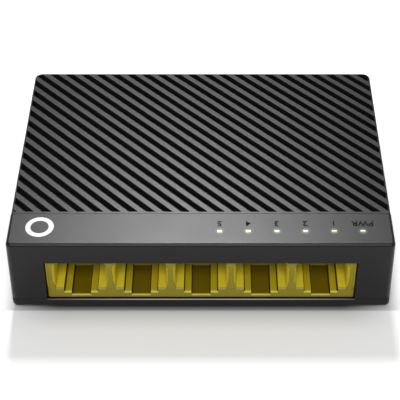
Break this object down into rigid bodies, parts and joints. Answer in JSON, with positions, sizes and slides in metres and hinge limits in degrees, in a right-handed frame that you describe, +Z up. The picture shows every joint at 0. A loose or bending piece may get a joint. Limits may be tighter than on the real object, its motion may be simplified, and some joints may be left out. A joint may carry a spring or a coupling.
{
  "type": "desktop network switch",
  "caption": "Flat desktop network switch: ribbed plastic cover with a smooth status band over a tray on rubber feet, ganged modular sockets with sprung contacts, barrel inlet.",
  "frame": {"origin": "under the middle of the case, on the plane that its feet stand on", "axes": "+X across the case towards socket 1 and the power light, the sockets face -Y, +Z up"},
  "size_m": [0.0904, 0.0668, 0.0218],
  "materials": {
    "case_black": "satin fine-textured ABS",
    "tray_black": "fine-textured ABS",
    "jack_yellow": "satin glass-filled nylon",
    "contact_gold": "gold-flashed phosphor bronze",
    "contact_nickel": "nickel-plated brass",
    "clear_guide": "clear polished",
    "board_green": "solder mask over glass-epoxy",
    "chip_black": "moulded epoxy",
    "transformer_black": "potted, satin",
    "crystal_can": "drawn can",
    "ferrite_grey": "sintered",
    "capacitor_can": "drawn can",
    "ceramic_tan": "fired ceramic",
    "resistor_black": "glazed",
    "led_body": "moulded",
    "inlet_black": "moulded",
    "screw_steel": "zinc plated",
    "foot_rubber": "matt"
  },
  "bodies": {
    "switch": {"top_cover": "case_black", "bottom_tray": "tray_black", "case_screws": "screw_steel", "board_screws": "screw_steel", "circuit_board": "board_green", "jack_housing": "jack_yellow", "light_guide": "clear_guide", "switch_chip": "chip_black", "crystal": "crystal_can", "regulator_chip": "chip_black", "power_inductor": "ferrite_grey", "input_capacitor": "capacitor_can", "output_capacitor": "capacitor_can", "chip_capacitors": "ceramic_tan", "chip_resistors": "resistor_black", "dc_inlet_body": "inlet_black", "dc_inlet_pin": "contact_nickel", "dc_inlet_sleeve_tail": "contact_nickel", "rubber_foot_1": "foot_rubber", "rubber_foot_2": "foot_rubber", "rubber_foot_3": "foot_rubber", "rubber_foot_4": "foot_rubber", "port_1_contact_leads": "contact_gold", "transformer_1": "transformer_black", "port_2_contact_leads": "contact_gold", "transformer_2": "transformer_black", "port_3_contact_leads": "contact_gold", "transformer_3": "transformer_black", "port_4_contact_leads": "contact_gold", "transformer_4": "transformer_black", "port_5_contact_leads": "contact_gold", "transformer_5": "transformer_black", "led_power": "led_body", "led_port_1": "led_body", "led_port_2": "led_body", "led_port_3": "led_body", "led_port_4": "led_body", "led_port_5": "led_body"},
    "port_1_springs": {"port_1_contact_springs": "contact_gold"},
    "port_2_springs": {"port_2_contact_springs": "contact_gold"},
    "port_3_springs": {"port_3_contact_springs": "contact_gold"},
    "port_4_springs": {"port_4_contact_springs": "contact_gold"},
    "port_5_springs": {"port_5_contact_springs": "contact_gold"},
    "inlet_spring": {"dc_inlet_spring": "contact_nickel"}
  },
  "joints": [
    {"name": "port_1_contact_flex", "type": "hinge", "parent": "switch", "child": "port_1_springs", "pos_m": [0.02858, -0.02925, 0.01525], "axis": [1, 0, 0], "range_deg": [0, 8], "stiffness_Nm_per_rad": 0.004},
    {"name": "port_2_contact_flex", "type": "hinge", "parent": "switch", "child": "port_2_springs", "pos_m": [0.01429, -0.02925, 0.01525], "axis": [1, 0, 0], "range_deg": [0, 8], "stiffness_Nm_per_rad": 0.004},
    {"name": "port_3_contact_flex", "type": "hinge", "parent": "switch", "child": "port_3_springs", "pos_m": [0, -0.02925, 0.01525], "axis": [1, 0, 0], "range_deg": [0, 8], "stiffness_Nm_per_rad": 0.004},
    {"name": "port_4_contact_flex", "type": "hinge", "parent": "switch", "child": "port_4_springs", "pos_m": [-0.01429, -0.02925, 0.01525], "axis": [1, 0, 0], "range_deg": [0, 8], "stiffness_Nm_per_rad": 0.004},
    {"name": "port_5_contact_flex", "type": "hinge", "parent": "switch", "child": "port_5_springs", "pos_m": [-0.02858, -0.02925, 0.01525], "axis": [1, 0, 0], "range_deg": [0, 8], "stiffness_Nm_per_rad": 0.004},
    {"name": "inlet_contact_flex", "type": "hinge", "parent": "switch", "child": "inlet_spring", "pos_m": [0.033, 0.012, 0.00815], "axis": [0, 1, 0], "range_deg": [0, 2.5], "stiffness_Nm_per_rad": 0.001}
  ]
}
